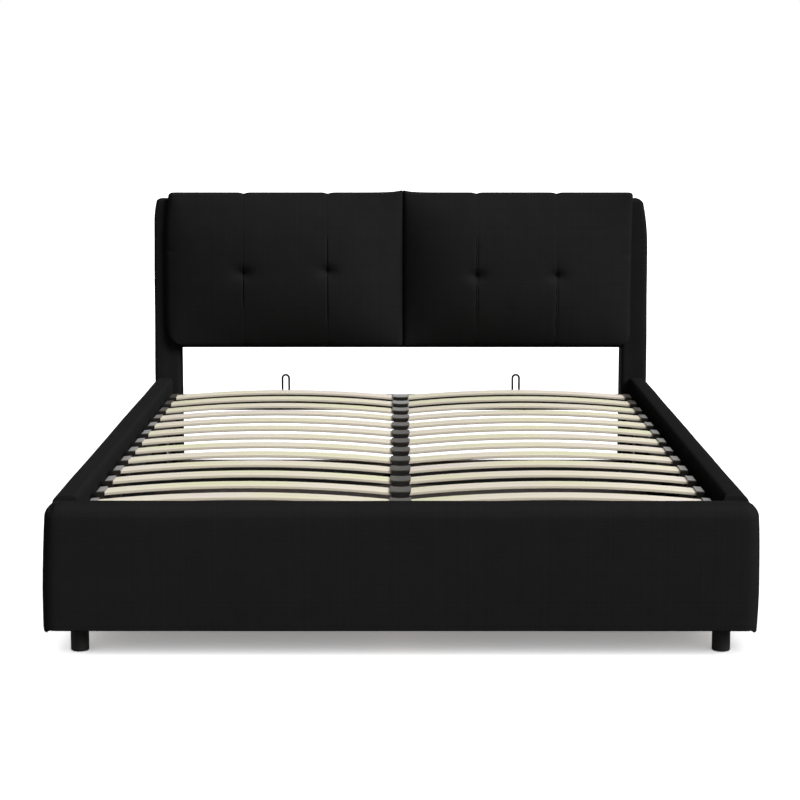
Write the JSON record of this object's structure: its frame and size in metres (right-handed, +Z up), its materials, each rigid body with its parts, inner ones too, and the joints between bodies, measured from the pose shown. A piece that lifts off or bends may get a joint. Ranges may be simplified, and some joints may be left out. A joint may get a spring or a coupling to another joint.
{
  "type": "upholstered storage bed",
  "caption": "Upholstered bed with padded rails, a headboard of tufted cushions and a bowed-slat platform that lifts on gas struts over a storage floor.",
  "frame": {"origin": "on the floor, midway along the bed's length and width", "axes": "+X across the bed to the right as seen from the foot, +Y to the headboard, +Z up"},
  "size_m": [1.695, 2.254, 1.005],
  "materials": {
    "black_fabric": "matte",
    "pale_wood": "satin",
    "board": "matte",
    "floor_board": "matte",
    "black_steel": "satin",
    "grey_plastic": "matte",
    "black_plastic": "satin",
    "zinc_steel": "satin",
    "chrome_rod": "polished"
  },
  "bodies": {
    "base": {"left_rail_cover": "black_fabric", "right_rail_cover": "black_fabric", "left_post_cover": "black_fabric", "right_post_cover": "black_fabric", "left_cushion": "black_fabric", "right_cushion": "black_fabric", "foot_cover": "black_fabric", "headboard_panel": "black_fabric", "left_rail_board": "board", "right_rail_board": "board", "left_post_core": "board", "right_post_core": "board", "left_floor_batten": "board", "right_floor_batten": "board", "foot_board": "board", "centre_beam": "board", "front_floor_panel": "floor_board", "rear_floor_panel": "floor_board", "head_cross_rail": "floor_board", "left_support_angle": "black_steel", "right_support_angle": "black_steel", "left_lift_bracket": "black_steel", "right_lift_bracket": "black_steel", "foot_corner_brackets": "black_steel", "front_left_foot": "black_plastic", "front_right_foot": "black_plastic", "rear_left_foot": "black_plastic", "rear_right_foot": "black_plastic", "centre_feet": "black_plastic", "bracket_screws": "zinc_steel", "corner_bolts": "zinc_steel"},
    "platform": {"slat_row_01": "pale_wood", "slat_row_02": "pale_wood", "slat_row_03": "pale_wood", "slat_row_04": "pale_wood", "slat_row_05": "pale_wood", "slat_row_06": "pale_wood", "slat_row_07": "pale_wood", "slat_row_08": "pale_wood", "slat_row_09": "pale_wood", "slat_row_10": "pale_wood", "slat_row_11": "pale_wood", "slat_row_12": "pale_wood", "slat_row_13": "pale_wood", "left_side_tube": "black_steel", "right_side_tube": "black_steel", "left_lift_arm": "black_steel", "right_lift_arm": "black_steel", "head_tube": "black_steel", "foot_tube": "black_steel", "centre_tube": "black_steel", "cross_tube": "black_steel", "left_slat_holders": "grey_plastic", "right_slat_holders": "grey_plastic", "centre_slat_holders": "grey_plastic", "mattress_hoops": "black_steel"},
    "left_cylinder": {"left_strut_cylinder": "black_steel"},
    "left_rod": {"left_strut_rod": "chrome_rod"},
    "right_cylinder": {"right_strut_cylinder": "black_steel"},
    "right_rod": {"right_strut_rod": "chrome_rod"}
  },
  "joints": [
    {"name": "platform_lift", "type": "hinge", "parent": "base", "child": "platform", "pos_m": [0, 0.818, 0.308], "axis": [-1, 0, 0], "range_deg": [0, 36]},
    {"name": "left_strut_pivot", "type": "hinge", "parent": "base", "child": "left_cylinder", "pos_m": [-0.7375, 0.818, 0.115], "axis": [-1, 0, 0], "range_deg": [0, 18]},
    {"name": "left_strut_slide", "type": "slide", "parent": "left_cylinder", "child": "left_rod", "axis": [0, -0.7803, 0.6255], "range_m": [0, 0.0837]},
    {"name": "right_strut_pivot", "type": "hinge", "parent": "base", "child": "right_cylinder", "pos_m": [0.7375, 0.818, 0.115], "axis": [-1, 0, 0], "range_deg": [0, 18]},
    {"name": "right_strut_slide", "type": "slide", "parent": "right_cylinder", "child": "right_rod", "axis": [0, -0.7803, 0.6255], "range_m": [0, 0.0837]}
  ],
  "couplings": [
    {"joint": "left_strut_pivot", "follows": "platform_lift", "ratio": 0.5},
    {"joint": "left_strut_slide", "follows": "platform_lift", "m_per_rad": 0.13312},
    {"joint": "right_strut_pivot", "follows": "platform_lift", "ratio": 0.5},
    {"joint": "right_strut_slide", "follows": "platform_lift", "m_per_rad": 0.13312}
  ]
}
